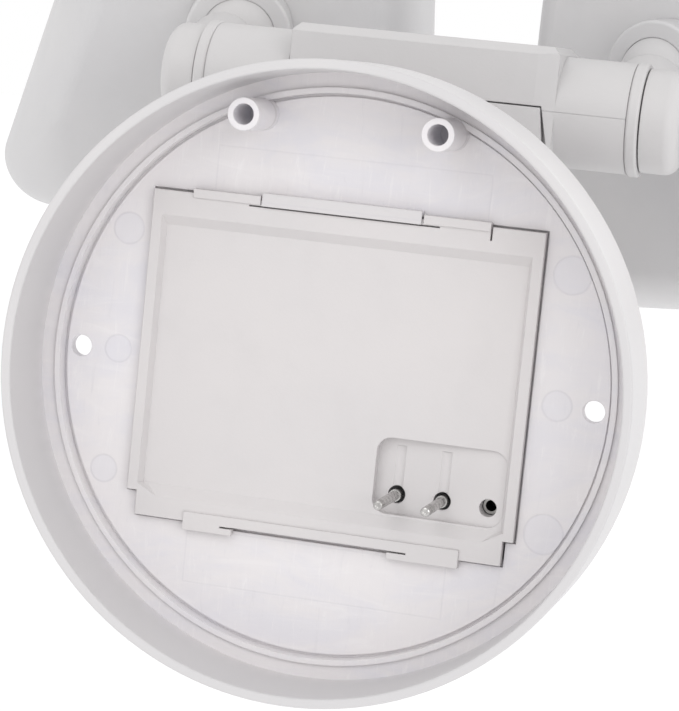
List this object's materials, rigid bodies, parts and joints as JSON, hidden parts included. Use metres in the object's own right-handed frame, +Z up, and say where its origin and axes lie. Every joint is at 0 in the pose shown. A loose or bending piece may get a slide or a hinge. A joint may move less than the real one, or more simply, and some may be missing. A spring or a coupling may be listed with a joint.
{
  "type": "floodlight security camera",
  "caption": "Wall floodlight with two splayed lamp heads on ball jointed elbows, a cross arm, a round wall canopy open at the back, and a small camera on a two pin bracket.",
  "frame": {"origin": "middle of the two wall screw holes, on the inner face of the canopy's floor", "axes": "+Z up, +Y into the wall, -Y the way the lamps and the camera face, +X to the right seen from the front"},
  "size_m": [0.2355, 0.1581, 0.1969],
  "materials": {
    "housing_plastic": "satin moulded plastic",
    "lens_plastic": "frosted translucent cover",
    "dome_plastic": "milky sensor dome",
    "seal_rubber": "soft seal",
    "circuit_board": "solder mask",
    "board_aluminium": "bare",
    "led_yellow": "phosphor over a white package",
    "contact_metal": "nickel plated",
    "black_plastic": "moulded",
    "transformer_core": "ferrite and tape",
    "capacitor_sleeve": "shrink sleeve",
    "screw_steel": "zinc plated",
    "dark_window": "infrared-clear acrylic",
    "camera_glass": "coated lens"
  },
  "bodies": {
    "fixture": {"arm_bush_left": "housing_plastic", "arm_bush_right": "housing_plastic", "arm_screws": "screw_steel", "arm_shell_lower": "housing_plastic", "arm_shell_upper": "housing_plastic", "arm_sleeve": "housing_plastic", "bay_cover": "housing_plastic", "button_switch": "black_plastic", "camera_mount": "housing_plastic", "camera_pan_pin": "screw_steel", "canopy_shell": "housing_plastic", "contact_block": "black_plastic", "contact_pins": "contact_metal", "driver_board": "circuit_board", "driver_capacitors": "capacitor_sleeve", "driver_relay": "black_plastic", "driver_transformer": "transformer_core", "ground_socket": "contact_metal", "housing_front": "housing_plastic", "housing_rear": "housing_plastic", "housing_screws": "screw_steel", "main_board": "circuit_board", "pir_lens": "dome_plastic", "pir_sensor": "screw_steel", "shield_can": "screw_steel", "speaker": "black_plastic"},
    "elbow_right_body": {"elbow_right": "housing_plastic", "elbow_nut_right": "screw_steel", "elbow_washer_right": "screw_steel"},
    "socket_right_body": {"ball_socket_right": "housing_plastic"},
    "head_right_body": {"head_shell_right": "housing_plastic", "head_bezel_right": "housing_plastic", "head_lens_right": "lens_plastic", "head_gasket_right": "seal_rubber", "heat_sink_right": "board_aluminium", "led_board_right": "board_aluminium", "led_chips_right": "led_yellow", "head_screws_right": "screw_steel"},
    "elbow_left_body": {"elbow_left": "housing_plastic", "elbow_nut_left": "screw_steel", "elbow_washer_left": "screw_steel"},
    "socket_left_body": {"ball_socket_left": "housing_plastic"},
    "head_left_body": {"head_shell_left": "housing_plastic", "head_bezel_left": "housing_plastic", "head_lens_left": "lens_plastic", "head_gasket_left": "seal_rubber", "heat_sink_left": "board_aluminium", "led_board_left": "board_aluminium", "led_chips_left": "led_yellow", "head_screws_left": "screw_steel"},
    "camera_knuckle_body": {"camera_knuckle": "housing_plastic"},
    "camera_body": {"camera_tilt_pin": "screw_steel", "camera_rear_shell": "housing_plastic", "camera_front_shell": "housing_plastic", "camera_window": "dark_window", "camera_lens": "camera_glass", "camera_lens_barrel": "black_plastic", "camera_board": "circuit_board", "camera_ir_leds": "black_plastic"},
    "setup_button_body": {"setup_button": "housing_plastic"}
  },
  "joints": [
    {"name": "elbow_tilt_right", "type": "hinge", "parent": "fixture", "child": "elbow_right_body", "pos_m": [0.05, -0.0465, 0.057], "axis": [-1, 0, 0], "range_deg": [-15, 45]},
    {"name": "head_pan_right", "type": "hinge", "parent": "elbow_right_body", "child": "socket_right_body", "pos_m": [0.0485, -0.07569, 0.06682], "axis": [0, 0.2317, 0.9728], "range_deg": [-8, 18]},
    {"name": "head_roll_right", "type": "hinge", "parent": "socket_right_body", "child": "head_right_body", "pos_m": [0.0485, -0.07569, 0.06682], "axis": [0.2215, -0.9486, 0.226], "range_deg": [-8, 8]},
    {"name": "elbow_tilt_left", "type": "hinge", "parent": "fixture", "child": "elbow_left_body", "pos_m": [-0.05, -0.0465, 0.057], "axis": [-1, 0, 0], "range_deg": [-15, 45]},
    {"name": "head_pan_left", "type": "hinge", "parent": "elbow_left_body", "child": "socket_left_body", "pos_m": [-0.0485, -0.07569, 0.06682], "axis": [0, -0.1219, -0.9925], "range_deg": [-14, 10]},
    {"name": "head_roll_left", "type": "hinge", "parent": "socket_left_body", "child": "head_left_body", "pos_m": [-0.0485, -0.07569, 0.06682], "axis": [-0.3633, -0.9247, 0.1135], "range_deg": [-8, 8]},
    {"name": "camera_pan", "type": "hinge", "parent": "fixture", "child": "camera_knuckle_body", "pos_m": [0, -0.061, -0.047], "axis": [0, 0, 1], "range_deg": [-30, 30]},
    {"name": "camera_tilt", "type": "hinge", "parent": "camera_knuckle_body", "child": "camera_body", "pos_m": [0, -0.073, -0.047], "axis": [-1, 0, 0], "range_deg": [-30, 5]},
    {"name": "setup_button_press", "type": "slide", "parent": "fixture", "child": "setup_button_body", "axis": [0, 0, 1], "range_m": [0, 0.0012], "stiffness_N_per_m": 600, "springref_m": -0.0006}
  ]
}
